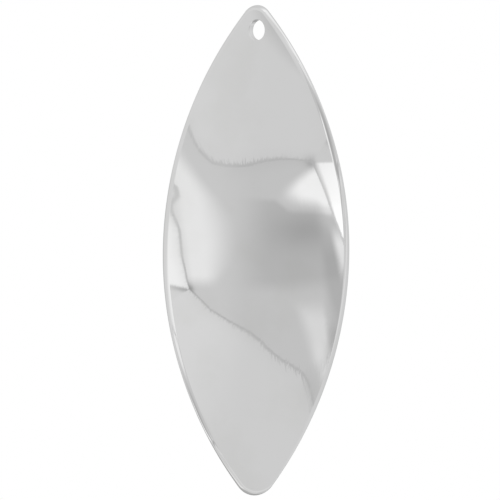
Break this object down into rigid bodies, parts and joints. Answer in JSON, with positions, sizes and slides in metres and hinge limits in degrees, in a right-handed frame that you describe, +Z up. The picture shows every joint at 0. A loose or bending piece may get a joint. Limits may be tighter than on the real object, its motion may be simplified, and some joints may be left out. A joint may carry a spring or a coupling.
{
  "type": "twisted pointed-oval pendant drop",
  "caption": "Pointed-oval pendant drop of thin plated sheet metal pressed into a smooth twist, with softly bevelled edges and a hanging hole near its top tip.",
  "frame": {"origin": "middle of the hanging hole, halfway through the sheet", "axes": "+Z up along the pendant as it hangs, +X to the viewer's right across its width, -Y towards the viewer of its front"},
  "size_m": [0.0174, 0.0069, 0.046],
  "materials": {
    "brass": "bare pressed sheet under the plating",
    "silver": "bright silver plate, polished to a mirror and lightly hairlined by tumbling"
  },
  "bodies": {
    "root": {"brass_blank": "brass", "silver_plate": "silver"}
  },
  "joints": []
}
